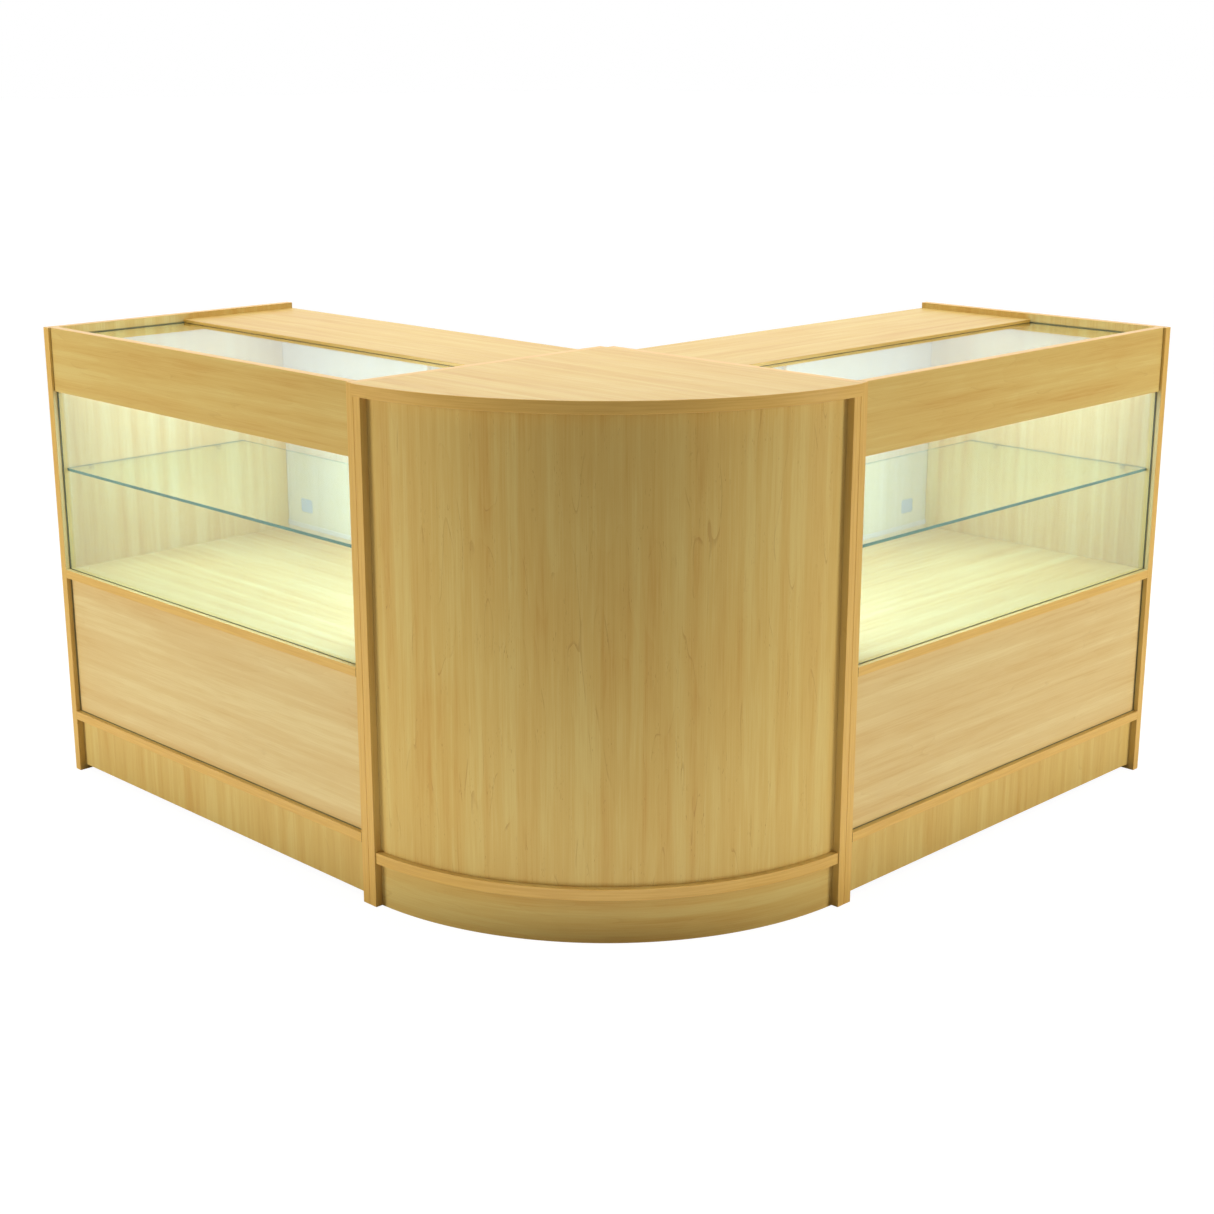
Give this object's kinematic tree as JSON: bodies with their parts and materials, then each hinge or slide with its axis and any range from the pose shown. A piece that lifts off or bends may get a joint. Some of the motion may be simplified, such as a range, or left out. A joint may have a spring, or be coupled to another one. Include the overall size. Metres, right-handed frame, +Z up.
{
  "type": "checkout counter",
  "caption": "L-shaped retail checkout counter: glass-fronted display counters with lockable sliding rear doors, joined by a quarter-round corner unit.",
  "frame": {"origin": "centre of the bounding box in plan, on the floor", "axes": "+Z up; the left counter runs along -X and the right counter along +Y from the inner corner where the staff stand; the curved corner faces +X -Y, towards the customer"},
  "size_m": [1.604, 1.604, 0.94],
  "materials": {
    "maple_foil": "satin maple-print foil on 18 mm board, edge taped",
    "pale_maple_foil": "satin pale maple-print foil on thin board",
    "float_glass": "clear float glass with polished edges",
    "track_plastic": "extruded ivory plastic",
    "pull_plastic": "moulded blue-grey plastic",
    "nickel": "nickel-plated"
  },
  "bodies": {
    "carcass": {"corner_top": "maple_foil", "corner_left_side_panel": "maple_foil", "corner_right_side_panel": "maple_foil", "corner_front_panel": "maple_foil", "corner_base_board": "maple_foil", "corner_plinth": "maple_foil", "corner_rib": "maple_foil", "left_outer_end_panel": "maple_foil", "left_inner_end_panel": "maple_foil", "left_fascia": "maple_foil", "left_worktop": "maple_foil", "left_display_deck": "maple_foil", "left_base_board": "maple_foil", "left_front_plinth": "maple_foil", "left_rear_plinth": "maple_foil", "left_storage_shelf": "maple_foil", "left_lower_front_panel": "maple_foil", "left_front_glass": "float_glass", "left_top_glass": "float_glass", "left_glass_shelf": "float_glass", "left_outer_front_shelf_stud": "nickel", "left_outer_rear_shelf_stud": "nickel", "left_inner_front_shelf_stud": "nickel", "left_inner_rear_shelf_stud": "nickel", "left_top_door_track": "track_plastic", "left_bottom_door_track": "track_plastic", "right_outer_end_panel": "maple_foil", "right_inner_end_panel": "maple_foil", "right_fascia": "maple_foil", "right_worktop": "maple_foil", "right_display_deck": "maple_foil", "right_base_board": "maple_foil", "right_front_plinth": "maple_foil", "right_rear_plinth": "maple_foil", "right_storage_shelf": "maple_foil", "right_lower_front_panel": "maple_foil", "right_front_glass": "float_glass", "right_top_glass": "float_glass", "right_glass_shelf": "float_glass", "right_outer_front_shelf_stud": "nickel", "right_outer_rear_shelf_stud": "nickel", "right_inner_front_shelf_stud": "nickel", "right_inner_rear_shelf_stud": "nickel", "right_top_door_track": "track_plastic", "right_bottom_door_track": "track_plastic"},
    "left_near_leaf": {"left_near_door": "pale_maple_foil", "left_near_door_finger_pull": "pull_plastic", "left_lock_housing": "nickel"},
    "left_far_leaf": {"left_far_door": "pale_maple_foil", "left_far_door_finger_pull": "pull_plastic"},
    "left_barrel": {"left_lock_barrel": "nickel"},
    "left_plug": {"left_lock_plug": "nickel"},
    "right_near_leaf": {"right_near_door": "pale_maple_foil", "right_near_door_finger_pull": "pull_plastic", "right_lock_housing": "nickel"},
    "right_far_leaf": {"right_far_door": "pale_maple_foil", "right_far_door_finger_pull": "pull_plastic"},
    "right_barrel": {"right_lock_barrel": "nickel"},
    "right_plug": {"right_lock_plug": "nickel"}
  },
  "joints": [
    {"name": "left_near_door_slide", "type": "slide", "parent": "carcass", "child": "left_near_leaf", "axis": [-1, 0, 0], "range_m": [0, 0.466]},
    {"name": "left_far_door_slide", "type": "slide", "parent": "carcass", "child": "left_far_leaf", "axis": [1, 0, 0], "range_m": [0, 0.466]},
    {"name": "left_lock_push", "type": "slide", "parent": "left_near_leaf", "child": "left_barrel", "axis": [0, -1, 0], "range_m": [0, 0.007], "stiffness_N_per_m": 150, "springref_m": -0.004},
    {"name": "left_key_turn", "type": "hinge", "parent": "left_barrel", "child": "left_plug", "pos_m": [-0.302, -0.21075, 0.6705], "axis": [0, 1, 0], "range_deg": [0, 90]},
    {"name": "right_near_door_slide", "type": "slide", "parent": "carcass", "child": "right_near_leaf", "axis": [0, 1, 0], "range_m": [0, 0.466]},
    {"name": "right_far_door_slide", "type": "slide", "parent": "carcass", "child": "right_far_leaf", "axis": [0, -1, 0], "range_m": [0, 0.466]},
    {"name": "right_lock_push", "type": "slide", "parent": "right_near_leaf", "child": "right_barrel", "axis": [1, 0, 0], "range_m": [0, 0.007], "stiffness_N_per_m": 150, "springref_m": -0.004},
    {"name": "right_key_turn", "type": "hinge", "parent": "right_barrel", "child": "right_plug", "pos_m": [0.21075, 0.302, 0.6705], "axis": [-1, 0, 0], "range_deg": [0, 90]}
  ]
}
